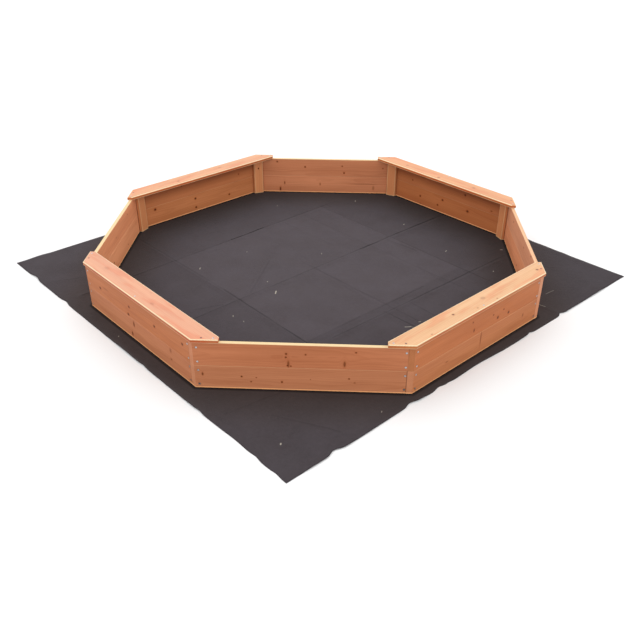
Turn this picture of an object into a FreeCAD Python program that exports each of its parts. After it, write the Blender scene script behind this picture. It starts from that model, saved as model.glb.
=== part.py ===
"""Octagonal timber sandbox standing on a square ground sheet.

Eight panels, each of two boards laid edge to edge, are screwed to eight posts that stand in the
inside corners.  The four diagonal panels carry a seat plank.  The whole frame stands on a loose
sheet of non-woven fabric.

The origin is on the floor, under the middle of the octagon.  +Z is up, +Y is towards the back.
Each panel is drawn in a frame of its own: x runs along the panel, to the right for someone who
looks at it from outside; y points into the sandbox, from the outer face; z is up.
"""
import FreeCAD, Part
import Sketcher
import os

from FreeCAD import Placement, Rotation, Vector

PANELS = ["front", "front_right", "right", "back_right", "back", "back_left", "left", "front_left"]
SIDES = len(PANELS)
TURN = 360 / SIDES            # each panel is turned this far from the one before it
HALF_TURN = TURN / 2
CLOTH_TURN = 45               # the ground sheet's corners point along X and Y

# Driving dimensions in millimetres.
DIMENSIONS = {
    "side_length": 800,       # one side of the octagon, from outer corner to outer corner
    "board_width": 100,       # two of these make the height of a panel
    "board_thick": 16,
    "board_ease": 1.5,        # rounding of the boards' long edges
    "post_leg": 33,           # how far a post reaches along each panel from the inside corner
    "post_side": 16,          # depth of a post's faces that stand square to the panels
    "post_ease": 1.5,         # rounding of the post's two inner edges
    "seat_width": 88,
    "seat_thick": 16,
    "seat_overhang": 6,       # how far a seat stands out past the panels' outer faces
    "seat_tip_cut": 24,       # length of the cut across a seat's two sharp inner tips
    "seat_ease": 3,           # rounding of the seat's edges
    "cloth_margin": 59.3,     # how far the ground sheet reaches past the panels with seats
    "cloth_thick": 1,
    "screw_shank": 4,         # diameter
    "screw_head": 8,          # diameter
    "screw_recess": 4.4,      # across the cross recess in a head
    "recess_slot": 0.9,       # width of one slot of the cross recess
    "recess_depth": 1.4,
    "screw_tip": 5,           # length of a screw's pointed end
    "screw_point": 0.5,       # diameter of its very end
    "screw_play": 0.1,        # all round a screw in its hole
    "panel_screw_length": 30,
    "seat_screw_length": 35,
    "screw_from_foot": 17,    # a board's lower row of screws, above its lower edge
    "screw_from_top": 21,     # its upper row, below its upper edge
    "screw_lap_inset": 15,    # from the corner, at the end that laps the next panel
    "screw_butt_inset": 7.4,  # from the end of the board's outer face, at the other end
    "seat_screw_joint": 12.4, # along a neighbouring panel's upper edge, from its butt joint
    "seat_screw_tip": 19,     # along the same edge, from the cut across the seat's tip
}

doc = FreeCAD.newDocument("sandbox")
sheet = doc.addObject("Spreadsheet::Sheet", "sheet")
for row, (alias, value) in enumerate(DIMENSIONS.items(), start=1):
    sheet.set("A%d" % row, alias)
    sheet.set("B%d" % row, str(value))
    sheet.setAlias("B%d" % row, alias)
doc.recompute()

# Sizes that follow from the driving ones, as expressions over the spreadsheet.  They are plain
# numbers of millimetres, so a property that wants a length takes them as they are.
HALF_SIDE = "(sheet.side_length / 2)"
APOTHEM = "(sheet.side_length / 2 / tan(%g deg))" % HALF_TURN
INNER_CORNER = "(sheet.side_length / 2 - sheet.board_thick * tan(%g deg))" % HALF_TURN
PANEL_HEIGHT = "(2 * sheet.board_width)"
FRAME_TOP = "(sheet.cloth_thick + 2 * sheet.board_width)"
HOLE = "(sheet.screw_shank + 2 * sheet.screw_play)"
SINK = "((sheet.screw_head - sheet.screw_shank) / 2)"
FACE_END = "(sheet.side_length / 2 - sheet.board_thick / sin(%g deg))" % TURN
LAP_SCREW = "(-(sheet.side_length / 2 - sheet.screw_lap_inset))"
BUTT_SCREW = "(%s - sheet.screw_butt_inset)" % FACE_END
LOW_ROW = "sheet.screw_from_foot"
HIGH_ROW = "(sheet.board_width - sheet.screw_from_top)"
MID_BOARD = "(sheet.board_thick / 2)"

# A seat's outline, in the frame of the panel under it: its outer corner, the two ends of the cut
# across its tip, and how far along the neighbouring panel that cut lies from the corner.
SEAT_HALF = "((%s + sheet.seat_overhang) * tan(%g deg))" % (APOTHEM, HALF_TURN)
SEAT_INNER = "(sheet.seat_width - sheet.seat_overhang)"
TIP_Y = "(%s - sheet.seat_tip_cut * cos(%g deg))" % (SEAT_INNER, TURN)
TIP_X = "(%s + (%s + sheet.seat_overhang) / tan(%g deg))" % (SEAT_HALF, TIP_Y, TURN)
TIP_INNER_X = "(%s - sheet.seat_tip_cut * sin(%g deg))" % (TIP_X, TURN)
TIP_ALONG = "((%s - %s) * cos(%g deg) + %s * sin(%g deg))" % (TIP_X, HALF_SIDE, TURN, TIP_Y, TURN)
SEAT_SCREW_INSETS = ["(%s - %s + sheet.seat_screw_joint)" % (HALF_SIDE, FACE_END),
                     "(%s - sheet.seat_screw_tip)" % TIP_ALONG]


def number(expression):
    """The value that an expression over the spreadsheet has now."""
    return float(sheet.evalExpression(expression))


def bind(item, **expressions):
    """Bind each named property of item to an expression."""
    for name, expression in expressions.items():
        item.setExpression(name, expression)


def stand(item, turn, x, y, z):
    """Turn item about Z, after moving it to x, y, z in the frame that turns with it."""
    spin = "rotation(vector(0; 0; 1); %g deg)" % turn
    base = "vector(%s; %s; %s)" % (x, y, z)
    item.setExpression("Placement", "placement(%s * %s; %s)" % (spin, base, spin))


def stand_panel(item, panel, z):
    """Stand an item drawn in a panel's own frame in its place in the octagon."""
    stand(item, TURN * PANELS.index(panel), "0", "-" + APOTHEM, z)


def new_body(name):
    body = doc.addObject("PartDesign::Body", name)
    body.Label = name
    return body


def add_sketch(body, name, plane):
    """A sketch on one of the body's own origin planes."""
    sketch = body.newObject("Sketcher::SketchObject", name)
    planes = [item for item in body.Origin.OriginFeatures if item.Role == plane]
    sketch.AttachmentSupport = [(planes[0], "")]
    sketch.MapMode = "FlatFace"
    return sketch


def draw_polygon(sketch, corners):
    """Closed outline through corners, each a pair of expressions."""
    points = [Vector(number(x), number(y), 0) for x, y in corners]
    for index, point in enumerate(points):
        sketch.addGeometry(Part.LineSegment(point, points[(index + 1) % len(points)]), False)
    for index, (x, y) in enumerate(corners):
        previous = (index - 1) % len(corners)
        sketch.addConstraint(Sketcher.Constraint("Coincident", previous, 2, index, 1))
        place_point(sketch, index, 1, x, y)


def draw_circles(sketch, diameter, centres):
    """Equal circles round centres, each a pair of expressions."""
    for x, y in centres:
        middle = Vector(number(x), number(y), 0)
        circle = sketch.addGeometry(Part.Circle(middle, Vector(0, 0, 1), number(diameter) / 2), False)
        width = sketch.addConstraint(Sketcher.Constraint("Diameter", circle, number(diameter)))
        sketch.setExpression("Constraints[%d]" % width, diameter)
        place_point(sketch, circle, 3, x, y)


def place_point(sketch, line, end, x, y):
    """Fix one point of a sketch at x, y, measured from the sketch's origin."""
    for kind, axis, expression in (("DistanceX", -2, x), ("DistanceY", -1, y)):
        value = number(expression)
        if abs(value) < 1e-9:
            sketch.addConstraint(Sketcher.Constraint("PointOnObject", line, end, axis))
        else:
            constraint = Sketcher.Constraint(kind, -1, 1, line, end, value)
            sketch.setExpression("Constraints[%d]" % sketch.addConstraint(constraint), expression)


def pad(body, sketch, length):
    feature = body.newObject("PartDesign::Pad", sketch.Name + "_pad")
    feature.Profile = sketch
    bind(feature, Length=length)
    return feature


def pocket(body, sketch, length):
    """Cut the sketch into the body, against the sketch's normal."""
    feature = body.newObject("PartDesign::Pocket", sketch.Name + "_pocket")
    feature.Profile = sketch
    bind(feature, Length=length)
    return feature


def edges_where(feature, wanted):
    """Names of a feature's edges for which wanted(edge) holds."""
    doc.recompute()
    edges = enumerate(feature.Shape.Edges, start=1)
    return ["Edge%d" % index for index, edge in edges if wanted(edge)]


def runs_along(edge, axis):
    """Whether an edge is straight and parallel to axis."""
    if not isinstance(edge.Curve, Part.Line):
        return False
    return abs(abs(edge.Curve.Direction.dot(axis)) - 1) < 1e-6


def round_edges(body, feature, name, radius, wanted):
    fillet = body.newObject("PartDesign::Fillet", name)
    fillet.Base = (feature, edges_where(feature, wanted))
    bind(fillet, Radius=radius)
    return fillet


def countersink(body, feature, name, wanted):
    """Open a hole's mouth to a screw head's width, at 45 degrees."""
    chamfer = body.newObject("PartDesign::Chamfer", name)
    chamfer.Base = (feature, edges_where(feature, wanted))
    bind(chamfer, Size=SINK)
    return chamfer


# Boards.  One end laps the neighbour on its left and is cut flush with that neighbour's outer face.
# The other end butts against the inner face of the neighbour on its right.

def has_seat(panel):
    return PANELS.index(panel) % 2 == 1


def make_board(panel, level):
    """One board of a panel; level is 0 for the lower board and 1 for the upper."""
    name = "%s_%s_board" % (panel, ("lower", "upper")[level])
    body = new_body(name)
    plank = body.newObject("PartDesign::AdditiveWedge", name + "_plank")
    bind(plank,
         Xmin="-" + HALF_SIDE,
         Xmax=FACE_END,
         X2min="-%s - sheet.board_thick / tan(%g deg)" % (HALF_SIDE, TURN),
         X2max=INNER_CORNER,
         Ymax="sheet.board_thick",
         Zmax="sheet.board_width",
         Z2max="sheet.board_width")
    for corner in ("Ymin", "Zmin", "Z2min"):
        setattr(plank, corner, 0)
    eased = round_edges(body, plank, name + "_ease", "sheet.board_ease",
                        lambda edge: runs_along(edge, Vector(1, 0, 0)))

    holes = add_sketch(body, name + "_holes", "XZ_Plane")
    draw_circles(holes, HOLE, [(x, z) for x in (LAP_SCREW, BUTT_SCREW) for z in (LOW_ROW, HIGH_ROW)])
    drilled = pocket(body, holes, "sheet.board_thick")
    sunk = countersink(body, drilled, name + "_sinks",
                       lambda edge: isinstance(edge.Curve, Part.Circle)
                       and edge.Closed and abs(edge.CenterOfMass.y) < 1e-6)
    if level == 1:
        sunk = drill_top_edge(body, panel)
    body.Tip = sunk
    stand_panel(body, panel, "sheet.cloth_thick + %d * sheet.board_width" % level)
    return body


def seat_screw_spots(panel):
    """Where the seats' screws enter a panel's upper edge, in the panel's own frame."""
    if has_seat(panel):
        return [("0", MID_BOARD)]
    return [("%d * (%s - %s)" % (sign, HALF_SIDE, inset), MID_BOARD)
            for sign in (-1, 1) for inset in SEAT_SCREW_INSETS]


def drill_top_edge(body, panel):
    """Pilot holes for the seats' screws, down from an upper board's top edge."""
    pilots = add_sketch(body, body.Name + "_pilots", "XY_Plane")
    pilots.setExpression("AttachmentOffset.Base.z", "sheet.board_width")
    draw_circles(pilots, HOLE, seat_screw_spots(panel))
    return pocket(body, pilots, "sheet.seat_screw_length - sheet.seat_thick + sheet.screw_play")


def panel_rows():
    """Heights of a panel's four rows of screws, above its foot."""
    return ["%s + %d * sheet.board_width" % (row, level)
            for level in (0, 1) for row in (LOW_ROW, HIGH_ROW)]


# Posts.  Drawn with the inside corner of the panels at the origin and +Y pointing into the
# sandbox along the line that halves the corner.

def make_post(panel, neighbour):
    """The post behind the right end of a panel and the left end of its neighbour."""
    name = "post_%s_to_%s" % (panel, neighbour)
    body = new_body(name)
    outline = add_sketch(body, name + "_outline", "XY_Plane")
    along = 90 - HALF_TURN    # between the halving line and a panel
    reach_x = "sheet.post_leg * sin(%g deg)" % along
    reach_y = "sheet.post_leg * cos(%g deg)" % along
    inner_x = "(%s - sheet.post_side * cos(%g deg))" % (reach_x, along)
    inner_y = "%s + sheet.post_side * sin(%g deg)" % (reach_y, along)
    draw_polygon(outline, [("0", "0"), (reach_x, reach_y), (inner_x, inner_y),
                           ("-" + inner_x, inner_y), ("-(%s)" % reach_x, reach_y)])
    column = pad(body, outline, PANEL_HEIGHT)

    inner_edge = number(inner_y)
    feature = round_edges(body, column, name + "_ease", "sheet.post_ease",
                          lambda edge: runs_along(edge, Vector(0, 0, 1))
                          and abs(edge.CenterOfMass.y - inner_edge) < 1e-6)

    # The panel on each side is screwed on: its butting end on one, its lapping end on the other.
    sides = (("butt", -1, "%s - %s" % (INNER_CORNER, BUTT_SCREW)),
             ("lap", 1, "%s + %s" % (INNER_CORNER, LAP_SCREW)))
    for end, sign, distance in sides:
        pilots = add_sketch(body, "%s_%s_pilots" % (name, end), "XZ_Plane")
        pilots.AttachmentOffset = Placement(Vector(0, 0, 0), Rotation(Vector(0, 1, 0), sign * HALF_TURN))
        x = "%d * (%s)" % (sign, distance)
        draw_circles(pilots, HOLE, [(x, z) for z in panel_rows()])
        depth = "sheet.panel_screw_length - sheet.board_thick + sheet.screw_play"
        feature = pocket(body, pilots, depth)
    body.Tip = feature
    turn = TURN * PANELS.index(panel) + HALF_TURN
    inner_radius = "-(%s - sheet.board_thick) / cos(%g deg)" % (APOTHEM, HALF_TURN)
    stand(body, turn, "0", inner_radius, "sheet.cloth_thick")
    return body


# Seats.  A plank with its ends cut to follow the neighbouring panels and its two sharp inner
# tips cut off square to them.

def make_seat(panel):
    name = panel + "_seat"
    body = new_body(name)
    outline = add_sketch(body, name + "_outline", "XY_Plane")
    right = [(SEAT_HALF, "-sheet.seat_overhang"), (TIP_X, TIP_Y), (TIP_INNER_X, SEAT_INNER)]
    left = [("-" + x, y) for x, y in reversed(right)]
    draw_polygon(outline, right + left)
    plank = pad(body, outline, "sheet.seat_thick")
    eased = round_edges(body, plank, name + "_ease", "sheet.seat_ease", lambda edge: not
                        runs_along(edge, Vector(0, 0, 1)))

    holes = add_sketch(body, name + "_holes", "XY_Plane")
    holes.setExpression("AttachmentOffset.Base.z", "sheet.seat_thick")
    draw_circles(holes, HOLE, seat_hole_spots())
    drilled = pocket(body, holes, "sheet.seat_thick")
    top = number("sheet.seat_thick")
    body.Tip = countersink(body, drilled, name + "_sinks",
                           lambda edge: isinstance(edge.Curve, Part.Circle)
                           and edge.Closed and abs(edge.CenterOfMass.z - top) < 1e-6)
    stand_panel(body, panel, FRAME_TOP)
    return body


def seat_hole_spots():
    """The five screw holes of a seat, in the frame of the panel under it."""
    spots = [("0", MID_BOARD)]
    for inset in SEAT_SCREW_INSETS:
        # From the corner, along the neighbouring panel, then half a board's thickness inwards.
        x = "(%s + %s * cos(%g deg) - %s * sin(%g deg))" % (HALF_SIDE, inset, TURN, MID_BOARD, TURN)
        y = "%s * sin(%g deg) + %s * cos(%g deg)" % (inset, TURN, MID_BOARD, TURN)
        spots += [(x, y), ("-" + x, y)]
    return spots


# Screws.  One pattern screw of each length, with its head uppermost at the origin.

def make_screw(name, length):
    body = new_body(name)
    parts = [("head", "sheet.screw_shank / 2", "sheet.screw_head / 2", SINK, SINK),
             ("shank", "sheet.screw_shank / 2", "sheet.screw_shank / 2",
              "%s - %s - sheet.screw_tip" % (length, SINK), "%s - sheet.screw_tip" % length),
             ("point", "sheet.screw_point / 2", "sheet.screw_shank / 2", "sheet.screw_tip", length)]
    for part, lower, upper, height, depth in parts:
        if lower == upper:
            solid = body.newObject("PartDesign::AdditiveCylinder", "%s_%s" % (name, part))
            bind(solid, Radius=lower)
        else:
            solid = body.newObject("PartDesign::AdditiveCone", "%s_%s" % (name, part))
            bind(solid, Radius1=lower, Radius2=upper)
        bind(solid, Height=height)
        solid.setExpression("Placement.Base.z", "-(%s)" % depth)

    slots = [("slot", "sheet.screw_recess", "sheet.recess_slot"),
             ("cross_slot", "sheet.recess_slot", "sheet.screw_recess")]
    for part, x_size, y_size in slots:
        slot = body.newObject("PartDesign::SubtractiveBox", "%s_%s" % (name, part))
        bind(slot, Length=x_size, Width=y_size, Height="sheet.recess_depth")
        slot.setExpression("Placement.Base.x", "-%s / 2" % x_size)
        slot.setExpression("Placement.Base.y", "-%s / 2" % y_size)
        slot.setExpression("Placement.Base.z", "-sheet.recess_depth")
    body.Tip = slot
    return body


def make_screw_group(name, pattern, spots, tip_axis):
    """Copies of the pattern screw, one at each spot, as one object of separate solids."""
    copies = []
    for index, (x, y, z) in enumerate(spots, start=1):
        copy = doc.addObject("App::Link", "%s_%d" % (name, index))
        copy.LinkedObject = pattern
        copy.Placement = Placement(Vector(), Rotation(Vector(0, 0, -1), tip_axis))
        for axis, place in zip("xyz", (x, y, z)):
            copy.setExpression("Placement.Base." + axis, place)
        copies.append(copy)
    group = doc.addObject("Part::Compound", name)
    group.Label = name
    group.Links = copies
    return group


def make_panel_screws(panel, pattern):
    spots = [(x, "0", z) for x in (LAP_SCREW, BUTT_SCREW) for z in panel_rows()]
    group = make_screw_group(panel + "_panel_screws", pattern, spots, Vector(0, 1, 0))
    stand_panel(group, panel, "sheet.cloth_thick")
    return group


def make_seat_screws(panel, pattern):
    spots = [(x, y, "sheet.seat_thick") for x, y in seat_hole_spots()]
    group = make_screw_group(panel + "_seat_screws", pattern, spots, Vector(0, 0, -1))
    stand_panel(group, panel, FRAME_TOP)
    return group


def make_ground_sheet():
    cloth = doc.addObject("Part::Box", "ground_sheet")
    half = "(%s + sheet.cloth_margin)" % APOTHEM
    bind(cloth, Length="2 * " + half, Width="2 * " + half, Height="sheet.cloth_thick")
    stand(cloth, CLOTH_TURN, "-" + half, "-" + half, "0")
    return cloth


# The whole sandbox.

panel_screw = make_screw("panel_screw", "sheet.panel_screw_length")
seat_screw = make_screw("seat_screw", "sheet.seat_screw_length")

nodes = [make_ground_sheet()]
for index, panel in enumerate(PANELS):
    neighbour = PANELS[(index + 1) % SIDES]
    nodes += [make_board(panel, 0), make_board(panel, 1), make_post(panel, neighbour),
              make_panel_screws(panel, panel_screw)]
    if has_seat(panel):
        nodes += [make_seat(panel), make_seat_screws(panel, seat_screw)]
doc.recompute()

failed = [item.Name for item in doc.Objects if {"Invalid", "Error"} & set(item.State)]
if failed:
    raise RuntimeError("these did not compute: " + ", ".join(failed))
for node in nodes:
    if node.Shape.isNull() or not node.Shape.isValid():
        raise RuntimeError(node.Label + " has no valid shape")

os.makedirs("parts", exist_ok=True)
for node in nodes:
    node.Shape.exportStep("parts/%s.step" % node.Label)
    print("%-36s %2d solid(s) %12.1f mm3" % (node.Label, len(node.Shape.Solids), node.Shape.Volume))
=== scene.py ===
import math

import bmesh
import bpy
from mathutils import Euler, Matrix, Vector, noise


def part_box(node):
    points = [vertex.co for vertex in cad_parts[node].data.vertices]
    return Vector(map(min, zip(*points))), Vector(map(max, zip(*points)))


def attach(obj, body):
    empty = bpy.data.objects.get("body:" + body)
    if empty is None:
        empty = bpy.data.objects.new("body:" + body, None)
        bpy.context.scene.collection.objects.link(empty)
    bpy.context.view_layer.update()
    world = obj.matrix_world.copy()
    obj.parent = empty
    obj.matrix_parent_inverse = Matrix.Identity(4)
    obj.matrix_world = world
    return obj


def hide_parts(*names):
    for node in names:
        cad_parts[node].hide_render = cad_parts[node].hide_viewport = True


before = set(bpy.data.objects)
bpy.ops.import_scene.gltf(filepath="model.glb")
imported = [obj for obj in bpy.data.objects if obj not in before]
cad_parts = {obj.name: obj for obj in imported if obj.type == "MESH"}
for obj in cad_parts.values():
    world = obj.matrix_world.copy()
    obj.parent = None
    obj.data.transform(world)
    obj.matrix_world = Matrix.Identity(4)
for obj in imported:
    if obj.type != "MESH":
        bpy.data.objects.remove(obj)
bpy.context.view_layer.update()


# Ground sheet.  A square of black non-woven cloth, cut from a roll a little out of true and folded
# in four both ways for packing.  It lies loose on the ground and the frame presses it flat, but
# its old folds, soft humps and pulled edges still stand up a little.

CLOTH_SIZE = (2.061, 2.022)        # across its folds, and along them
CLOTH_SHIFT = (-0.0128, -0.0106)   # its middle lies a little to one side of the frame's
CLOTH_SKEW = (-0.003, -0.012)      # how far each pair of edges is out of true, per metre
CLOTH_THICK = 0.0007
CLOTH_MIDDLE = 0.00055             # height of the cloth's middle layer where it lies flat
CLOTH_MESH = 176                   # squares along one edge, before the folds are cut in
CLOTH_TURN = math.radians(45)      # from the cloth's own axes to the frame's
WALL_OUTER = -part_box("front_upper_board")[0].y
WALL_BAND = WALL_OUTER - 0.022     # middle of the ring that walls and posts press flat
WALL_BAND_REACH = 0.027            # half the width of that ring
FREE_REACH = 0.075                 # from the ring's middle to where the cloth is free of it
BOARD_THICK = 0.016
BOARD_MIDDLE = BOARD_THICK / 2     # from a wall's outer face to the middle of its board
FOLD_FOOT = 0.030                  # from a fold's ridge to where the cloth is level again
FOLD_CUTS = (-0.012, -0.004, 0, 0.004, 0.012)   # where the mesh is cut, to each side of a fold
HUMP_HEIGHT = 0.0020
RIPPLE_HEIGHT = 0.0060             # of the ripples along the cut edges
RIPPLE_REACH = 0.07                # how far in from an edge they die out
DIP_REACH = 0.08                   # how far in from an edge its dips are felt
EDGE_WAVER = 0.0008                # how much the cut edges waver between the dips

# Old folds in the cloth's own axes: where each starts and ends, how high it stands, and how dark
# the painted shade in its crease is.
FOLDS = [
    ((-0.955, 0.509), (0.56, 0.530), 0.0040, 0.50),
    ((-0.12, 0.520), (0.09, 0.523), 0.0050, 0.95),
    ((-0.955, 0.006), (1.02, 0.000), 0.0045, 0.45),
    ((0.30, 0.004), (0.86, 0.000), 0.0030, 0.45),
    ((-0.46, -0.452), (0.24, -0.462), 0.0022, 0.30),
    ((-0.36, -0.500), (0.95, -0.530), 0.0034, 0.50),
    ((-0.468, 1.00), (-0.455, 0.12), 0.0036, 0.30),
    ((-0.455, 0.12), (-0.466, -0.52), 0.0036, 0.55),
    ((0.515, 0.53), (0.505, -0.98), 0.0036, 0.32),
    ((-0.010, 0.10), (0.000, -0.66), 0.0018, 0.25),
    ((0.220, 0.50), (0.225, 0.12), 0.0012, 0.16),
    ((0.362, 0.50), (0.368, -0.62), 0.0012, 0.14),
    ((-0.120, 0.21), (-0.385, 0.02), 0.0016, 0.22),
    ((-0.545, 0.22), (-0.450, 0.245), 0.0016, 0.30),
    ((0.478, -0.02), (0.490, -0.20), 0.0016, 0.32),
    ((-0.052, -0.50), (-0.044, -0.66), 0.0016, 0.40),
    ((0.090, -0.52), (0.086, -0.66), 0.0014, 0.30),
    ((-0.66, 0.07), (-0.54, 0.02), 0.0016, 0.25),
    ((-0.98, -0.60), (-0.62, -0.66), 0.0020, 0.14),
    ((-0.86, -0.72), (-0.74, -0.95), 0.0018, 0.14),
    ((-1.00, 0.72), (-0.80, 0.62), 0.0018, 0.18),
    ((0.72, -0.60), (0.93, -0.86), 0.0018, 0.20),
]
CUT_FOLDS = FOLDS[:1] + FOLDS[2:3] + FOLDS[5:7] + FOLDS[8:9]   # the mesh is cut along these

# Lint: pale specks and broken threads that lie on the cloth, from where to where, and how bright.
LINT = [
    ((-0.303, -0.058), (-0.286, -0.042), 0.0042, 1.0),
    ((-0.424, 0.364), (-0.414, 0.374), 0.0032, 0.9),
    ((-0.262, 0.052), (-0.258, 0.054), 0.0036, 0.7),
    ((-0.146, 0.358), (-0.140, 0.364), 0.0026, 0.5),
    ((-0.564, -0.090), (-0.558, -0.082), 0.0032, 0.6),
    ((-0.556, -0.156), (-0.552, -0.148), 0.0026, 0.5),
    ((0.116, 0.092), (0.124, 0.100), 0.0026, 0.6),
    ((0.676, 0.052), (0.686, 0.058), 0.0030, 0.8),
    ((0.706, 0.452), (0.720, 0.466), 0.0026, 0.6),
    ((0.594, -0.304), (0.608, -0.298), 0.0030, 0.7),
    ((0.598, -0.592), (0.604, -0.588), 0.0032, 0.7),
    ((0.818, -0.474), (0.824, -0.480), 0.0040, 0.7),
    ((-0.078, -0.640), (-0.062, -0.654), 0.0030, 0.9),
    ((-0.060, -0.652), (-0.054, -0.668), 0.0016, 0.8),
    ((-0.006, -0.652), (0.004, -0.656), 0.0032, 0.6),
    ((0.332, 0.700), (0.340, 0.706), 0.0026, 0.5),
    ((-1.008, 0.098), (-1.004, 0.102), 0.0032, 0.5),
    ((-0.936, -0.856), (-0.932, -0.852), 0.0042, 0.9),
    ((0.496, -0.905), (0.499, -0.945), 0.0018, 0.8),
    ((0.600, -0.880), (0.655, -0.885), 0.0022, 0.4),
    ((-0.562, -0.966), (-0.556, -0.962), 0.0028, 0.5),
    ((0.640, -0.805), (0.668, -0.812), 0.0018, 0.35),
]

# Where a cut edge is drawn in: the edge, the distance of each dip from its middle, depth, width.
EDGE_DIPS = [
    ("front_left", 0.805, 0.0085, 0.034), ("front_left", 0.505, 0.0070, 0.028),
    ("front_left", -0.150, 0.0030, 0.022), ("front_left", -0.530, 0.0035, 0.020),
    ("front_left", -0.740, 0.0045, 0.110), ("front_left", -0.848, 0.0040, 0.022),
    ("front_left", -0.955, 0.0030, 0.020),
    ("front_right", -0.815, 0.0120, 0.024), ("front_right", -0.440, 0.0100, 0.024),
    ("front_right", -0.285, 0.0090, 0.026), ("front_right", -0.235, 0.0040, 0.018),
    ("front_right", -0.070, 0.0075, 0.110), ("front_right", -0.450, 0.0060, 0.200),
    ("front_right", 0.279, 0.0070, 0.014), ("front_right", 0.510, 0.0110, 0.014),
    ("back_left", -0.500, 0.0020, 0.060), ("back_left", 0.350, 0.0060, 0.040),
    ("back_right", 0.350, 0.0050, 0.050), ("back_right", -0.200, 0.0060, 0.030),
]


class Value:
    """A shader socket that takes part in Python arithmetic, where each step is a Math node."""

    def __init__(self, nodes, socket):
        self.nodes, self.socket = nodes, socket

    def math(self, operation, *values):
        return self.nodes.node("Math", dict(enumerate(values)), operation=operation)

    def __add__(self, other):
        return self.math("ADD", self, other)

    def __sub__(self, other):
        return self.math("SUBTRACT", self, other)

    def __rsub__(self, other):
        return self.math("SUBTRACT", other, self)

    def __mul__(self, other):
        return self.math("MULTIPLY", self, other)

    def __truediv__(self, other):
        return self.math("DIVIDE", self, other)

    def __pow__(self, other):
        return self.math("POWER", self, other)

    def __neg__(self):
        return self.math("MULTIPLY", self, -1)

    __radd__, __rmul__ = __add__, __mul__

    def fraction(self):
        return self.math("FRACT", self)

    def size(self):
        return self.math("ABSOLUTE", self)

    def exponential(self):
        return self.math("EXPONENT", self)

    def at_least(self, other):
        return self.math("MAXIMUM", self, other)

    def at_most(self, other):
        return self.math("MINIMUM", self, other)

    def step(self, start, end):
        """0 before start, 1 after end, and a smooth rise between them."""
        limits = {"Value": self, "From Min": start, "From Max": end}
        return self.nodes.node("MapRange", limits, interpolation_type="SMOOTHSTEP")

    def parts(self):
        """The three numbers of a vector."""
        split = self.nodes.node("SeparateXYZ", {0: self}).socket.node
        return [Value(self.nodes, socket) for socket in split.outputs]


class Nodes:
    """A node tree that is written as expressions."""

    def __init__(self, tree):
        self.tree = tree

    def feed(self, socket, value):
        if isinstance(value, Value):
            self.tree.links.new(value.socket, socket)
        elif socket.type == "RGBA" and len(value) == 3:
            socket.default_value = (*value, 1)
        else:
            socket.default_value = value

    def node(self, kind, sockets=(), out=0, **settings):
        """Adds a node: its settings first, then the values or links of its sockets."""
        made = self.tree.nodes.new("ShaderNode" + kind)
        for name, value in settings.items():
            setattr(made, name, value)
        for name, value in dict(sockets).items():
            self.feed(made.inputs[name], value)
        return Value(self, made.outputs[out])

    def place(self, turn=0, shift=(0, 0, 0)):
        """Points of the piece in a frame of its own: turned about z, then shifted."""
        points = self.node("TexCoord", out="Object")
        return self.node("Mapping", {"Vector": points, "Rotation": (0, 0, turn), "Location": shift})

    def stretch(self, points, *scale):
        return self.node("Mapping", {"Vector": points, "Scale": scale})

    def noise(self, points, scale=1, detail=2, roughness=0.5):
        """Cloudy values about 0.5."""
        return self.node("TexNoise", {"Vector": points, "Scale": scale, "Detail": detail,
                                      "Roughness": roughness})

    def blend(self, mask, first, second, blend_type="MIX"):
        """One colour where mask is 0 and another where it is 1."""
        return self.node("Mix", {0: mask, 6: first, 7: second}, out=2, data_type="RGBA",
                         blend_type=blend_type)

    def lighten(self, colour, factor):
        return self.node("VectorMath", {0: colour, "Scale": factor}, operation="SCALE")


class Paint(Nodes):
    """A material: the Principled shader's constants, and the nodes that feed the rest."""

    def __init__(self, name, **constants):
        self.material = bpy.data.materials.new(name)
        self.material.use_nodes = True
        super().__init__(self.material.node_tree)
        self.surface = self.tree.nodes["Principled BSDF"]
        for name, value in constants.items():
            self.surface.inputs[name.replace("_", " ")].default_value = value

    def finish(self, colour, roughness, height, relief):
        """Feeds the shader, with height in units of relief metres."""
        self.feed(self.surface.inputs["Base Color"], colour)
        self.feed(self.surface.inputs["Roughness"], roughness)
        bump = self.node("Bump", {"Height": height, "Distance": relief})
        self.feed(self.surface.inputs["Normal"], bump)
        return self.material


def shade(red, green, blue):
    """A colour given as it looks on a screen, 0 to 255, as the shader wants it."""
    return tuple((channel / 255) ** 2.2 for channel in (red, green, blue))


def finish_piece(mesh, name, smooth):
    """Makes a bmesh an object of the scene, at the origin."""
    data = bpy.data.meshes.new(name)
    mesh.to_mesh(data)
    mesh.free()
    data.polygons.foreach_set("use_smooth", [smooth] * len(data.polygons))
    piece = bpy.data.objects.new(name, data)
    bpy.context.scene.collection.objects.link(piece)
    return piece


def rise(value, start, end):
    """0 before start, 1 after end, and a smooth rise between them."""
    t = min(1, max(0, (value - start) / (end - start)))
    return t * t * (3 - 2 * t)


def fold_distance(point, start, end):
    """Distance in the cloth's own axes from a point to a fold."""
    start, run = Vector(start), Vector(end) - Vector(start)
    share = min(1, max(0, (point - start).dot(run) / run.length_squared))
    return (point - start - run * share).length


def octagon_reach(point):
    """Distance from the middle to the octagon's side through a point."""
    turns = [math.radians(45 * index) for index in range(8)]
    return max(point.x * math.cos(turn) + point.y * math.sin(turn) for turn in turns)


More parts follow.
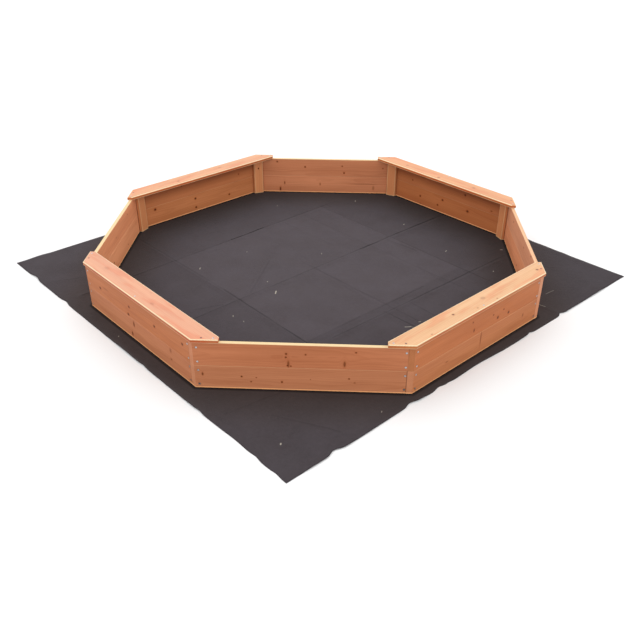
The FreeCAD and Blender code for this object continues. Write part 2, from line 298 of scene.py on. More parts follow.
def cloth_height(a, b):
    """How far the cloth stands up off the ground at a point in its own axes."""
    point = Vector((a, b))
    height = 0
    for start, end, ridge, _ in FOLDS:
        distance = fold_distance(point, start, end)
        if distance < FOLD_FOOT:
            uneven = 0.75 + 0.6 * noise.noise(Vector((a * 3.1, b * 3.1, start[0] * 7)))
            height = max(height, ridge * uneven * (1 - distance / FOLD_FOOT) ** 1.6)
    hump = (noise.noise(Vector((a * 2.3, b * 2.3, 4.2)))
            + 0.5 * noise.noise(Vector((a * 6, b * 6, 9.1))))
    height += HUMP_HEIGHT * max(0, hump + 0.35)
    edge = min(CLOTH_SIZE[0] / 2 - abs(a), CLOTH_SIZE[1] / 2 - abs(b))
    ripple = noise.noise(Vector((a * 9, b * 9, 2.5)))
    height += RIPPLE_HEIGHT * max(0, ripple + 0.12) * (1 - rise(edge, 0, RIPPLE_REACH))
    pressed = abs(octagon_reach(Vector((a, b))) - WALL_BAND)
    return height * rise(pressed, WALL_BAND_REACH, FREE_REACH)


def edge_dip(side, along):
    """How far one cut edge is drawn in, at a distance along it from its middle."""
    dips = [dip[1:] for dip in EDGE_DIPS if dip[0] == side]
    drawn = sum(depth * math.exp(-((along - place) / width) ** 2) for place, depth, width in dips)
    return drawn + EDGE_WAVER * (1 + noise.noise(Vector((along * 14, len(side), 0.3))))


def lay_cloth(point):
    """Takes a point of the flat, true square to where it lies, in the cloth's own axes."""
    a, b = point.x, point.y
    half_a, half_b = CLOTH_SIZE[0] / 2, CLOTH_SIZE[1] / 2
    height = cloth_height(a, b)
    a_in = edge_dip("front_left", b) * rise(-a, half_a - DIP_REACH, half_a)
    a_in -= edge_dip("back_right", b) * rise(a, half_a - DIP_REACH, half_a)
    b_in = edge_dip("front_right", a) * rise(-b, half_b - DIP_REACH, half_b)
    b_in -= edge_dip("back_left", a) * rise(b, half_b - DIP_REACH, half_b)
    a_laid = a + CLOTH_SHIFT[0] + CLOTH_SKEW[0] * b + a_in
    b_laid = b + CLOTH_SHIFT[1] + CLOTH_SKEW[1] * a + b_in
    return Vector((a_laid, b_laid, CLOTH_MIDDLE + height))


def make_cloth():
    mesh = bmesh.new()
    bmesh.ops.create_grid(mesh, x_segments=CLOTH_MESH, y_segments=CLOTH_MESH, size=0.5)
    bmesh.ops.scale(mesh, verts=mesh.verts, vec=(*CLOTH_SIZE, 1))
    for start, end, _, _ in CUT_FOLDS:
        run = (Vector(end) - Vector(start)).normalized()
        across = Vector((run.y, -run.x, 0))
        for offset in FOLD_CUTS:
            everything = mesh.verts[:] + mesh.edges[:] + mesh.faces[:]
            middle = Vector((*start, 0)) + across * offset
            bmesh.ops.bisect_plane(mesh, geom=everything, plane_co=middle, plane_no=across,
                                   dist=1e-5)
    for vertex in mesh.verts:
        vertex.co = lay_cloth(vertex.co)
    bmesh.ops.rotate(mesh, verts=mesh.verts, matrix=Matrix.Rotation(CLOTH_TURN, 3, "Z"))
    return finish_piece(mesh, "ground_cloth", smooth=True)


def mark(a, b, start, end):
    """Distance from a straight mark: a shader's fold_distance."""
    length = math.hypot(end[0] - start[0], end[1] - start[1])
    run_a, run_b = (end[0] - start[0]) / length, (end[1] - start[1]) / length
    from_a, from_b = a - start[0], b - start[1]
    along = from_a * run_a + from_b * run_b
    across = from_a * run_b - from_b * run_a
    past = (-along).at_least(along - length).at_least(0)
    return (across * across + past * past) ** 0.5


def wall_reach(paint):
    """A shader's octagon_reach, in the frame's axes."""
    x, y, _ = paint.place().parts()
    x, y = x.size(), y.size()
    return x.at_least(y).at_least((x + y) * math.sqrt(0.5))


CLOTH_WARM = shade(79, 70.5, 70)
CLOTH_COOL = shade(79.5, 73.5, 77.5)
CLOTH_LINT = shade(160, 154, 142)
CLOTH_RELIEF = 0.0006
FOLD_SHADE = (0.0014, 0.0072)       # half width of the painted shade in a fold's crease: where it is full, and gone
WALL_SHADOW_LINE = (0.014, 0.026)         # the same of the painted contact shadow under a wall, from the board's middle
WALL_SHADE_REACH = (0.03, 0.30)         # and of the painted shade and warm bounce light on the cloth along the walls
BACK_SHADE = (0.58, 0.90)           # where the painted shade on the cloth towards the back starts, and where it is full
PALE_SQUARE_REACH = (0.46, 0.515, 0.452, 0.525)   # from the middle to the sides of the paler square


def cloth_paint():
    """Black spun cloth: fused dots and cloudy fibre, paler in the middle and in the square inside
    the folds, with painted shade in the old folds' creases, painted shade and orange bounce light
    along the walls, and pale lint."""
    paint = Paint("black_nonwoven", Specular_IOR_Level=0.10, Sheen_Weight=0.02, Sheen_Roughness=0.6)
    points = paint.place(turn=-CLOTH_TURN)
    a, b, _ = points.parts()
    fibre = paint.noise(points, 420, 3, 0.65)
    grain = paint.noise(points, 60, 3, 0.6)
    cloud = paint.noise(points, 7, 4, 0.6)
    wander = (paint.noise(points, 9, 3) - 0.5) * 0.008
    broken = paint.noise(points, 5, 2).step(0.30, 0.62) * 0.7 + 0.3

    # painted shade in the creases of the old folds
    crease_shade = 0
    for start, end, _, dark in FOLDS:
        distance = mark(a + wander, b + wander, start, end)
        crease_shade = crease_shade + (1 - distance.step(*FOLD_SHADE)) * dark
    crease_shade = crease_shade * broken

    # a paler square inside the folds
    left, right, near, far = PALE_SQUARE_REACH
    inside = ((a + left + wander).step(-0.006, 0.006)
              * (1 - (a - right - wander).step(-0.008, 0.008)))
    inside = inside * (b + near).step(-0.01, 0.01) * (1 - (b - far + wander).step(-0.006, 0.006))
    middle = 1 - ((a * a + b * b) ** 0.5).step(0.45, 1.05)
    reach = wall_reach(paint)
    from_wall = (reach - WALL_OUTER + BOARD_MIDDLE).size()
    # painted shade on the cloth along the walls, with the warm light the walls throw back on it
    wall_shade_and_bounce = 1 - from_wall.step(*WALL_SHADE_REACH)
    # painted shade on the cloth towards the back, under the back walls and seats
    back_shade = a.at_least(b).step(*BACK_SHADE)
    tone = 0.66 + inside * 0.09 + middle * 0.14 + (cloud - 0.5) * 0.22 + (grain - 0.5) * 0.16
    tone = tone + (fibre - 0.5) * 0.22 - crease_shade * 0.60
    within = 1 - (reach - WALL_OUTER).step(-0.01, 0.01)
    tone = tone * (1 - wall_shade_and_bounce * (within * 0.16 + 0.10)) * (1 - back_shade * within * 0.14)
    tone = tone * (1 - (1 - within) * (a - b) * 0.040)     # outside, a little paler to the left, as painted light falling from the left
    # painted contact shadow along the foot of each wall
    tone = (tone * (1 - (1 - from_wall.step(*WALL_SHADOW_LINE)) * 0.72)).at_least(0.06)
    # warmer in cloudy patches, and beside the walls a painted warm bounce light
    warm_and_bounce = ((1 - cloud.step(0.3, 0.7)) * 0.2).at_least(wall_shade_and_bounce)
    colour = paint.lighten(paint.blend(warm_and_bounce, CLOTH_COOL, CLOTH_WARM), tone)

    speck = 0
    for start, end, width, bright in LINT:
        distance = mark(a, b, start, end)
        speck = (1 - distance.step(width * 0.3, width * 0.85)) * bright + speck
    colour = paint.blend(speck, colour, CLOTH_LINT)
    dots = paint.node("TexVoronoi", {"Vector": points, "Scale": 620, "Randomness": 0.25})
    height = dots.step(0.1, 0.5) * 0.5 + fibre * 0.6 + grain * 1.5 - crease_shade * 2.0 + speck
    return paint.finish(colour, 0.86 + 0.1 * fibre, height, CLOTH_RELIEF)


cloth = make_cloth()
cloth.modifiers.new("thickness", "SOLIDIFY").thickness = CLOTH_THICK
cloth.modifiers["thickness"].offset = 0
cloth.data.materials.append(cloth_paint())
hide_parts("ground_sheet")
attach(cloth, "ground_sheet")


# Panels.  Eight walls of two planed softwood boards each, one above the other, dipped in an
# orange-brown stain.  The boards' long edges are eased, and their sawn ends took less of the
# stain than their faces.  Their upper edges are pale, partly unstained wood and partly a painted
# highlight, and their feet carry a bright orange line.

PANELS = ["front", "front_right", "right", "back_right", "back", "back_left", "left", "front_left"]
HALF_SIDE = WALL_OUTER * math.tan(math.radians(22.5))
BOARD_EARLY = shade(206, 136, 98)
BOARD_LATE = shade(163, 94, 62)
# pale of the upper edges: partly unstained wood, partly a painted highlight
BOARD_EDGE = shade(216, 188, 142)
BOARD_FOOT = shade(255, 182, 124)
END_GRAIN = shade(206, 142, 108)
UNSTAINED_AND_LIT_TOPS = {"right_upper_board": 0.45, "front_left_lower_board": 0.05}   # how pale its top edge is: unstained wood and painted highlight
TAN_ENDS = {"front_right_upper_board": shade(168, 112, 74)}      # a darker sawn end
OPEN_JOINTS = {"front_lower_board": 0.9, "front_upper_board": 0.1}   # how dark the joint at its end
SEATED = ("front_right", "back_right", "back_left", "front_left")
# colour of the painted shadow that a seat casts on the board under it
SEAT_SHADOW = shade(186, 166, 154)
SCREW_RIM_STAIN_AND_SHADE = shade(112, 66, 44)
JOINT_LINE = shade(104, 60, 38)
PANEL_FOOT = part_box("front_lower_board")[0].z
BOARD_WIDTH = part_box("front_lower_board")[1].z - PANEL_FOOT
SCREW_LOW, SCREW_HIGH = 0.017, 0.021          # rows of screws above a board's foot, below its top
SCREW_LEFT, SCREW_RIGHT = -0.385, 0.370       # columns of screws along a panel
SCREW_MIDDLE, SCREW_APART = (SCREW_LEFT + SCREW_RIGHT) / 2, (SCREW_RIGHT - SCREW_LEFT) / 2
SCREW_HEIGHT = (BOARD_WIDTH + SCREW_LOW - SCREW_HIGH) / 2
SCREW_RISE = (BOARD_WIDTH - SCREW_LOW - SCREW_HIGH) / 2
KNOT_CORE = shade(92, 46, 14)
KNOT_HALO = shade(212, 156, 88)
BOARD_RELIEF = 0.00035
FACE_FADE = (-0.0016, -0.0004)     # where a face's own colour fades in, short of the face
FOOT_FADE = (0.0036, 0.0062)       # height of the bare foot: where it is full, and gone
END_FADE = (0.0002, 0.0012)        # and so on for the sawn end, into the board
JOINT_FADE = (-0.0034, -0.0012)    # the dark joint, short of the end of the outer face
RIM_FADE = (0.0042, 0.0060)        # the dark rim of a screw hole, partly stain and partly painted shade in the countersink, from its middle
SEAT_SHADOW_FADE = (-0.085, -0.018)   # the painted shadow of a seat on the board's inner face, from the board's top


def softwood(paint, points, rings, colours, knots, bare_and_highlight=None, roughness=0.55, figure=1.0):
    """Solid softwood whose grain runs along x, as colour, roughness and height.  rings is the
    (y, z) of the tree's heart and the rings' width; colours are the wood between the rings, the
    rings' dark edges, and the pale of unstained wood and of painted highlights; each knot is its x,
    z, half length, half width and how dark it is; bare_and_highlight masks the places without stain
    and the painted highlights on edges; figure is how strong the grain shows."""
    x, y, z = points.parts()
    slow = paint.noise(paint.stretch(points, 1.3, 7, 7))
    ripple = paint.noise(paint.stretch(points, 5, 22, 22), detail=3)
    streak = paint.noise(paint.stretch(points, 9, 330, 330), detail=3, roughness=0.6)
    pore = paint.noise(paint.stretch(points, 40, 900, 900))
    cloud = paint.noise(paint.stretch(points, 1.5, 40, 26), detail=3)
    patch = paint.noise(paint.stretch(points, 3, 8, 8))
    uneven = (paint.noise(points, 260) - 0.5) * 0.3

    swell, core, halo = 0, 0, 0
    for knot_x, knot_z, half_length, half_width, dark in knots:
        across = (x - knot_x - y * 0.12) / half_length
        up = (z - knot_z) / half_width
        distance = (across * across + up * up) ** 0.5 + uneven
        core = (1 - distance.step(0.65, 1.35)) * dark + core
        halo = (1 - distance.step(0.8, 2.4)) * dark + halo
        swell = (distance * distance * -0.2).exponential() * (half_width * 1.4) + swell

    heart_y, heart_z, ring_width = rings
    across, up = y - heart_y, z - heart_z
    radius = (across * across + up * up) ** 0.5
    radius = radius + (slow - 0.5) * 0.05 + (ripple - 0.5) * 0.006 + x * 0.004 + swell
    ring = (radius / ring_width).fraction()
    late = ring.step(0.30, 0.90) * (1 - ring.step(0.93, 1.0))

    early_colour, late_colour, bare_and_highlight_colour = colours
    grain = ((late - 0.35) * 0.14 + (streak - 0.5) * 0.35
             + (cloud - 0.5) * 0.85 + (pore - 0.5) * 0.12)
    colour = paint.blend((grain * figure + 0.5).at_least(0).at_most(1), early_colour, late_colour)
    colour = paint.lighten(colour, (patch - 0.5) * 0.22 + 1)
    # the pale of unstained wood, and painted highlights on edges
    if bare_and_highlight is not None:
        pale = paint.lighten(bare_and_highlight_colour, 1.06 - late * 0.14 + (streak - 0.5) * 0.1)
        colour = paint.blend(bare_and_highlight, colour, pale)
    height = late * 0.4 + streak * 0.6 + pore * 0.25
    if knots:
        colour = paint.blend((halo * 0.6).at_most(1), colour, KNOT_HALO, "MULTIPLY")
        colour = paint.blend((core * 1.2).at_most(1), colour, KNOT_CORE)
        height = height - core * 0.6
    return colour, roughness + (streak - 0.5) * 0.18 - late * 0.05, height


def panel_points(paint, panel):
    """Points in the panel's own frame: x along it to the right seen from outside, y inwards from
    its outer face, z up."""
    turn = math.radians(-45 * PANELS.index(panel))
    return paint.place(turn=turn, shift=(0, WALL_OUTER, 0))


def repaint(node_name, material):
    """Gives a CAD node one material."""
    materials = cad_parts[node_name].data.materials
    materials.clear()
    materials.append(material)


def tinted(colour, tint):
    return tuple(min(1, channel * factor) for channel, factor in zip(colour, tint))


# Each board's heart and ring width, its tint against the others, and its knots: how far along the
# panel and up it, half length, half width, and darkness.
BOARDS = {
    "front_upper_board": ((0.052, 0.150, 0.0052), (1.02, 0.97, 0.91), [
        (-0.0605, 0.1625, 0.0032, 0.0034, 1.0), (-0.062, 0.1475, 0.0030, 0.0030, 1.0),
        (0.0095, 0.1615, 0.0028, 0.0026, 0.8), (0.190, 0.1765, 0.0026, 0.0028, 1.0),
        (0.150, 0.124, 0.0040, 0.0110, 0.55), (-0.0535, 0.118, 0.0036, 0.0130, 0.55),
        (-0.057, 0.1115, 0.0024, 0.0024, 0.9), (-0.0445, 0.1095, 0.0024, 0.0024, 0.9)]),
    "front_lower_board": ((0.070, 0.020, 0.0050), (1.02, 1.05, 1.04), [
        (-0.370, 0.0635, 0.0030, 0.0060, 0.7), (-0.2265, 0.0565, 0.0030, 0.0032, 0.9),
        (-0.1925, 0.034, 0.0026, 0.0026, 0.8), (-0.1725, 0.0535, 0.0022, 0.0022, 0.7),
        (-0.0785, 0.0365, 0.0030, 0.0034, 1.0), (0.0265, 0.0515, 0.0018, 0.0018, 0.6),
        (0.1675, 0.060, 0.0028, 0.0028, 0.8), (0.1885, 0.0425, 0.0036, 0.0030, 0.35)]),
    "front_right_upper_board": ((0.045, 0.190, 0.0056), (0.98, 0.85, 0.62), [
        (-0.0675, 0.170, 0.0034, 0.0032, 0.7), (-0.055, 0.129, 0.0034, 0.0070, 0.7),
        (0.065, 0.150, 0.0036, 0.0028, 0.8), (0.0975, 0.125, 0.0050, 0.0056, 0.9),
        (0.1325, 0.149, 0.0036, 0.0028, 0.8), (0.170, 0.120, 0.0050, 0.0056, 0.9)]),
    "front_right_lower_board": ((0.062, 0.035, 0.0060), (1.02, 0.99, 0.84), [
        (-0.0025, 0.070, 0.0028, 0.0280, 0.45), (-0.2075, 0.0535, 0.0070, 0.0030, 0.35),
        (0.2825, 0.060, 0.0050, 0.0070, 0.35)]),
    "right_upper_board": ((0.050, 0.120, 0.0058), (1.26, 1.47, 1.74), [
        (0.2075, 0.169, 0.0070, 0.0040, 0.45), (-0.0615, 0.164, 0.0070, 0.0040, 0.40),
        (-0.210, 0.194, 0.0050, 0.0040, 0.8)]),
    "right_lower_board": ((-0.040, 0.060, 0.0062), (1.32, 1.35, 1.38), [
        (0.020, 0.030, 0.0040, 0.0036, 0.7), (-0.280, 0.070, 0.0036, 0.0034, 0.7)]),
    "back_right_upper_board": ((0.058, 0.170, 0.0056), (0.93, 0.83, 0.62), [
        (-0.1295, 0.151, 0.0052, 0.0048, 0.8), (-0.305, 0.116, 0.0060, 0.0034, 0.5),
        (0.240, 0.130, 0.0038, 0.0036, 0.7)]),
    "back_right_lower_board": ((0.047, 0.090, 0.0054), (0.91, 0.79, 0.56), [
        (0.177, 0.053, 0.0050, 0.0046, 0.9), (0.018, 0.077, 0.0060, 0.0050, 0.8),
        (0.049, 0.0395, 0.0046, 0.0042, 0.9), (-0.155, 0.0665, 0.0070, 0.0056, 0.8),
        (0.174, 0.009, 0.0034, 0.0034, 0.7)]),
    "back_upper_board": ((0.066, 0.110, 0.0058), (1.06, 1.07, 1.06), [
        (0.274, 0.1845, 0.0042, 0.0044, 0.8), (0.113, 0.155, 0.0040, 0.0040, 1.0),
        (-0.101, 0.163, 0.0036, 0.0036, 0.8), (-0.1125, 0.122, 0.0040, 0.0044, 1.0),
        (-0.3355, 0.154, 0.0034, 0.0034, 0.6)]),
    "back_lower_board": ((0.052, 0.080, 0.0060), (1.17, 1.20, 1.22), [
        (0.2335, 0.0565, 0.0034, 0.0080, 0.6), (0.259, 0.018, 0.0040, 0.0110, 0.8),
        (0.026, 0.0515, 0.0034, 0.0070, 0.45), (-0.2845, 0.0335, 0.0050, 0.0120, 0.3),
        (-0.231, 0.0570, 0.0700, 0.0013, 0.65)]),
    "back_left_upper_board": ((0.050, 0.190, 0.0056), (1.08, 1.03, 0.82), [
        (0.120, 0.170, 0.0040, 0.0036, 0.5), (-0.260, 0.140, 0.0036, 0.0034, 0.6)]),
    "back_left_lower_board": ((0.044, 0.060, 0.0056), (1.10, 1.07, 0.85), [
        (0.296, 0.0835, 0.0056, 0.0056, 1.0), (0.041, 0.0755, 0.0052, 0.0050, 1.0),
        (0.041, 0.024, 0.0052, 0.0050, 0.9), (-0.187, 0.038, 0.0046, 0.0044, 1.0)]),
    "left_upper_board": ((0.058, 0.150, 0.0056), (1.37, 1.43, 1.46), [
        (0.008, 0.142, 0.0044, 0.0030, 0.35), (-0.200, 0.170, 0.0036, 0.0034, 0.6)]),
    "left_lower_board": ((0.060, 0.010, 0.0058), (1.43, 1.55, 1.58), [
        (0.089, 0.050, 0.0044, 0.0042, 0.8), (-0.150, 0.030, 0.0034, 0.0034, 0.6)]),
    "front_left_upper_board": ((0.048, 0.125, 0.0056), (0.99, 0.91, 0.75), [
        (-0.2865, 0.1365, 0.0060, 0.0050, 0.85), (-0.049, 0.149, 0.0054, 0.0046, 0.9),
        (-0.0625, 0.109, 0.0064, 0.0056, 0.85), (0.140, 0.146, 0.0056, 0.0048, 0.9),
        (0.335, 0.161, 0.0050, 0.0050, 1.0), (-0.240, 0.150, 0.0200, 0.0026, 0.25)]),
    "front_left_lower_board": ((0.064, 0.030, 0.0058), (1.02, 1.05, 1.06), [
        (-0.0275, 0.078, 0.0046, 0.0110, 0.75), (-0.051, 0.022, 0.0046, 0.0090, 0.8),
        (0.243, 0.0865, 0.0056, 0.0090, 0.35), (0.242, 0.045, 0.0050, 0.0034, 0.5)]),
}


for node_name, (rings, tint, knots) in BOARDS.items():
    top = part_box(node_name)[1].z
    paint = Paint("stained_" + node_name, Specular_IOR_Level=0.3)
    panel = node_name.rsplit("_", 2)[0]
    points = panel_points(paint, panel)
    x, y, z = points.parts()
    # pale upper edge: partly unstained wood, partly painted highlight
    bare_and_highlight = ((z - top).step(*FACE_FADE)
            * UNSTAINED_AND_LIT_TOPS.get(node_name, 1 if "upper" in node_name else 0.25))
    colours = tinted(BOARD_EARLY, tint), tinted(BOARD_LATE, tint), BOARD_EDGE
    colour, roughness, height = softwood(paint, points, rings, colours, knots, bare_and_highlight)
    end_grain = 1 - (x + y + HALF_SIDE).step(*END_FADE)
    colour = paint.blend(end_grain * 0.42, colour, TAN_ENDS.get(node_name, END_GRAIN))
    joint = (x - HALF_SIDE + BOARD_THICK * math.sqrt(2)).step(*JOINT_FADE)
    colour = paint.blend(joint * OPEN_JOINTS.get(node_name, 0.25), colour, JOINT_LINE)
    colour = paint.blend((1 - (z - PANEL_FOOT).step(*FOOT_FADE)) * 0.95, colour, BOARD_FOOT)
    # painted shadow of the seat on the inner face of the board under it
    if "upper" in node_name and panel in SEATED:
        seat_shadow = (z - top).step(*SEAT_SHADOW_FADE) * (y - BOARD_THICK).step(*FACE_FADE)
        colour = paint.blend(seat_shadow * 0.9, colour, SEAT_SHADOW, "MULTIPLY")
    # dark rim round each screw head: partly stain, partly painted shade in the countersink
    across = (x - SCREW_MIDDLE).size() - SCREW_APART
    up = (z - top + BOARD_WIDTH - SCREW_HEIGHT).size() - SCREW_RISE
    rim = 1 - ((across * across + up * up) ** 0.5).step(*RIM_FADE)
    colour = paint.blend(rim * 0.6, colour, SCREW_RIM_STAIN_AND_SHADE)
    repaint(node_name, paint.finish(colour, roughness, height, BOARD_RELIEF))


# Corner posts.  Five-sided softwood posts behind the panels' corners, with upright grain and the
# same stain as the panels, and a painted highlight along the edges of their broad faces.

POST_COLOURS = (shade(226, 152, 102), shade(184, 112, 72), BOARD_EDGE)
POST_FROM_MIDDLE = 1.03            # from the octagon's middle to a post's outer corner, nearly
POST_EDGE = (0.0244, 1.0005)       # where its broad face meets a side: aside, and from the middle
POST_SIDE = (0.0305, 1.0153)       # where a side meets the board
POST_FOOT_FADE = (0.0024, 0.0050)
POST_HIGHLIGHT_FADE = (0.0022, 0.0042)
POST_JOINT_FADE = (0.0016, 0.0044)
POST_STRETCH = 0.7                 # how much further along the tree each post was cut

for index, panel in enumerate(PANELS):
    neighbour = PANELS[(index + 1) % len(PANELS)]
    paint = Paint("stained_post_" + panel, Specular_IOR_Level=0.3)
    x, y, z = paint.place(turn=math.radians(-45 * index - 22.5)).parts()
    x_from, y_from = x.size() - POST_EDGE[0], y + POST_EDGE[1]
    from_edge = (x_from * x_from + y_from * y_from) ** 0.5
    x_from, y_from = x.size() - POST_SIDE[0], y + POST_SIDE[1]
    from_board = (x_from * x_from + y_from * y_from) ** 0.5
    along = POST_STRETCH * index
    points = paint.node("CombineXYZ", {0: z + along, 1: y + POST_FROM_MIDDLE, 2: x})
    rings = (0.05 if index % 2 else -0.04, 0.03, 0.0048)
    knots = [(0.146 + along, 0.0, 0.0040, 0.0036, 0.9)] if panel == "back" else []
    bare_and_highlight = (1 - (z - PANEL_FOOT).step(*POST_FOOT_FADE)) * 0.6
    # painted highlight along the edges where the broad face meets a side
    bare_and_highlight = bare_and_highlight.at_least((1 - from_edge.step(*POST_HIGHLIGHT_FADE)) * 0.4)
    colour, roughness, height = softwood(paint, points, rings, POST_COLOURS, knots, bare_and_highlight)
    colour = paint.blend((1 - from_board.step(*POST_JOINT_FADE)) * 0.75, colour, JOINT_LINE)
    material = paint.finish(colour, roughness, height, BOARD_RELIEF)
    repaint("post_%s_to_%s" % (panel, neighbour), material)


# Seats.  Four planed planks on the diagonal panels, in paler wood with a thin clear finish.  Their
# rounded top edges are nearly white, partly wear and partly a painted highlight; painted shade
# darkens their sides below, and a painted highlight runs along their lower edges.

SEATS = {
    "front_left": ((0.080, 0.260, 0.0075), shade(214, 156, 122), shade(194, 134, 106), [
        (0.096, 0.027, 0.0110, 0.0060, 0.14), (-0.284, 0.043, 0.0140, 0.0080, 0.12),
        (0.019, 0.069, 0.0080, 0.0040, 0.08)]),
    "front_right": ((0.020, 0.290, 0.0085), shade(218, 176, 134), shade(194, 140, 96), [
        (-0.142, 0.043, 0.0046, 0.0042, 0.75), (0.041, 0.044, 0.0110, 0.0080, 0.22),
        (0.400, 0.037, 0.0058, 0.0050, 0.65), (-0.034, 0.011, 0.0040, 0.0030, 0.35),
        (0.081, 0.005, 0.0036, 0.0026, 0.45), (-0.305, 0.008, 0.0034, 0.0024, 0.45)]),
    "back_right": ((0.060, 0.270, 0.0080), shade(214, 158, 110), shade(192, 124, 84), [
        (-0.191, 0.038, 0.0080, 0.0060, 0.35), (0.028, 0.058, 0.0070, 0.0060, 0.45),
        (0.265, 0.044, 0.0080, 0.0060, 0.25)]),
    "back_left": ((0.030, 0.280, 0.0078), shade(213, 158, 116), shade(192, 126, 88), [
        (0.160, 0.051, 0.0060, 0.0056, 0.40), (-0.121, 0.031, 0.0080, 0.0060, 0.20)]),
}
# pale of the seats' worn rims and of their painted highlights
SEAT_EDGE = shade(226, 204, 164)
SEAT_BLUSH = shade(252, 228, 219)
SEAT_SIDE_SHADE = shade(232, 176, 130)
SEAT_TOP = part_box("front_left_seat")[1].z
SEAT_OVERHANG = -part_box("front_left_seat")[0].x - WALL_OUTER
SEAT_WIDTH = 0.088
SEAT_CORNER = 0.41                 # its corner's reach past the panel's, as a share of the overhang
WEAR_AND_HIGHLIGHT_FADE = (0.0016, 0.0050)       # the rim of wear and painted highlight, in from the edge: where it is full, and gone
ROUNDED_FADE = (-0.0034, -0.0018)  # and from the top down
SIDE_SHADE_FADE = (-0.0046, -0.0026)
LOWER_HIGHLIGHT_FADE = (-0.0136, -0.0106)
SEAT_RELIEF = 0.00025

for panel, (rings, early, late, knots) in SEATS.items():
    paint = Paint("planed_seat_" + panel, Specular_IOR_Level=0.35)
    x, y, z = panel_points(paint, panel).parts()
    flat = paint.node("CombineXYZ", {0: x, 1: z - SEAT_TOP, 2: y})
    from_outer = y + SEAT_OVERHANG
    past_corner = HALF_SIDE - x.size() + SEAT_OVERHANG * SEAT_CORNER
    from_end = from_outer * math.sqrt(0.5) + past_corner * math.sqrt(0.5)
    rim = from_outer.at_most(SEAT_WIDTH - from_outer).at_most(from_end)
    # rounded top edges nearly white: partly wear, partly painted highlight
    wear_and_highlight = (1 - rim.step(*WEAR_AND_HIGHLIGHT_FADE)) * (z - SEAT_TOP).step(*ROUNDED_FADE)
    colour, roughness, height = softwood(paint, flat, rings, (early, late, SEAT_EDGE), knots, wear_and_highlight,
                                         roughness=0.45, figure=1.25)
    # painted shade on the seat's side face, below its rounded top edge
    side = 1 - (z - SEAT_TOP).step(*SIDE_SHADE_FADE)
    colour = paint.blend(side, colour, SEAT_SIDE_SHADE, "MULTIPLY")
    # painted highlight along the seat's lower edge
    lower = 1 - (z - SEAT_TOP).step(*LOWER_HIGHLIGHT_FADE)
    colour = paint.blend(lower * 0.55, colour, SEAT_EDGE)
    blush = paint.noise(paint.stretch(flat, 4, 1, 26), detail=3).step(0.46, 0.60)
    colour = paint.blend(blush * (1 - wear_and_highlight), colour, SEAT_BLUSH, "MULTIPLY")
    repaint(panel + "_seat", paint.finish(colour, roughness, height, SEAT_RELIEF))


# Screws.  Countersunk cross-head wood screws, zinc plated, driven flush through the boards into
# the posts and through the seats into the panels' upper edges.  The seats' outer screws, close
# beside the joints of the panels, are painted dark brown.

DARK_SCREW = ((0.4191, 0.0304), 0.012)   # its place in the frame of the panel below it, and reach
ZINC_BRIGHT = shade(202, 204, 206)
ZINC_DULL = shade(150, 150, 152)
ZINC_BROWN = shade(120, 78, 66)
SCREW_RELIEF = 0.00008


def screw_paint(name, seat=None):
    paint = Paint(name, Metallic=1.0)
    points = panel_points(paint, seat) if seat else paint.place()
    dull = paint.noise(points, 180, 3)
    scratch = paint.noise(points, 900)
    colour = paint.blend(dull.step(0.35, 0.7), ZINC_BRIGHT, ZINC_DULL)
    if seat:
        # the seats' outer screws, painted dark brown
        (screw_x, screw_y), reach = DARK_SCREW
        x, y, _ = points.parts()
        across, along = x.size() - screw_x, y - screw_y
        darkened = 1 - ((across * across + along * along) ** 0.5).step(reach * 0.8, reach)
        colour = paint.blend(darkened * 0.9, colour, ZINC_BROWN)
    return paint.finish(colour, 0.28 + dull * 0.2, scratch, SCREW_RELIEF)


PANEL_ZINC = screw_paint("zinc_plate")
for panel in PANELS:
    repaint(panel + "_panel_screws", PANEL_ZINC)
for panel in SEATS:
    repaint(panel + "_seat_screws", screw_paint("zinc_plate_" + panel, seat=panel))


# Studio.  A wide pale floor under an even pale sky, a little brighter low down, with one large
# soft lamp overhead.  The floor shows, but throws no light of its own back up at the walls.

FLOOR_SIZE = 400
FLOOR_COLOUR = (0.80, 0.80, 0.80)
SKY_LOW, SKY_HIGH, SKY_BELOW = 1.9, 1.0, 0.35
LAMP_PLACE = (-0.4, 0.6, 3.4)
LAMP_SIZE = 3.0
LAMP_POWER = 25

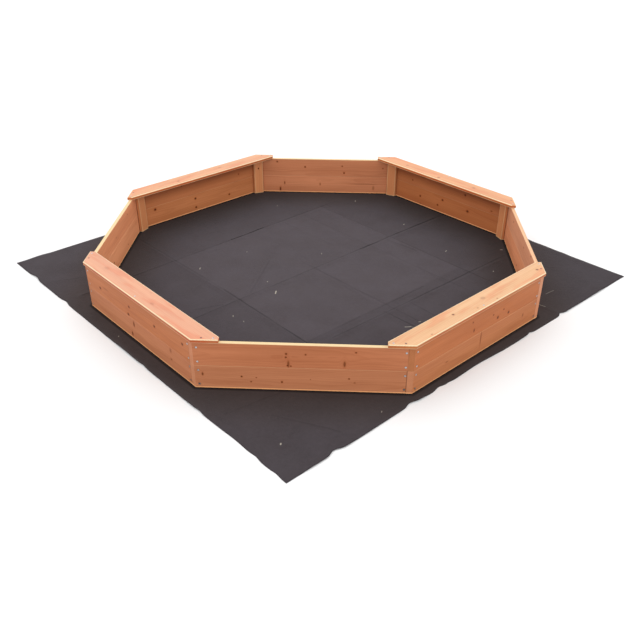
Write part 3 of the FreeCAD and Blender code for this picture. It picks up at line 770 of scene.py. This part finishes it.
ground = bmesh.new()
bmesh.ops.create_grid(ground, x_segments=1, y_segments=1, size=FLOOR_SIZE / 2)
floor = finish_piece(ground, "floor", smooth=False)
floor_paint = Paint("pale_floor", Roughness=0.9, Specular_IOR_Level=0.1)
floor_paint.feed(floor_paint.surface.inputs["Base Color"], FLOOR_COLOUR)
floor.data.materials.append(floor_paint.material)
floor.visible_diffuse = False
floor.visible_shadow = False

world = bpy.data.worlds.new("studio")
world.use_nodes = True
bpy.context.scene.world = world
sky = Nodes(world.node_tree)
_, _, up = sky.node("TexCoord", out="Generated").parts()
glow = SKY_LOW - up.at_least(0) * (SKY_LOW - SKY_HIGH)
above = up.step(-0.04, 0.0)
backdrop = world.node_tree.nodes["Background"]
sky.feed(backdrop.inputs["Color"], (1, 1, 1))
sky.feed(backdrop.inputs["Strength"], glow * above + (1 - above) * SKY_BELOW)
bpy.context.scene.view_settings.view_transform = "Standard"

lamp_data = bpy.data.lights.new("overhead", "AREA")
lamp_data.shape = "DISK"
lamp_data.size = LAMP_SIZE
lamp_data.energy = LAMP_POWER
lamp = bpy.data.objects.new("overhead", lamp_data)
lamp.location = LAMP_PLACE
lamp.rotation_euler = (Vector((0, 0, 0)) - lamp.location).to_track_quat("-Z", "Y").to_euler()
bpy.context.scene.collection.objects.link(lamp)

CAMERA_PLACE = (0.1605, -3.155, 1.675)
CAMERA_DOWN = 0.5571               # radians below the horizon
CAMERA_ASIDE = 0.0455              # radians to the left of straight ahead
CAMERA_ROLL = 0.0028
CAMERA_LENS = 41.8
CAMERA_SEES = 1000                 # far enough for the floor's horizon
camera_data = bpy.data.cameras.new("camera")
camera_data.lens = CAMERA_LENS
camera_data.clip_end = CAMERA_SEES
camera = bpy.data.objects.new("camera", camera_data)
camera.location = CAMERA_PLACE
aim = Euler((math.pi / 2 - CAMERA_DOWN, 0, CAMERA_ASIDE)).to_matrix()
camera.rotation_euler = (aim @ Matrix.Rotation(CAMERA_ROLL, 3, "Z")).to_euler()
bpy.context.scene.collection.objects.link(camera)
bpy.context.scene.camera = camera
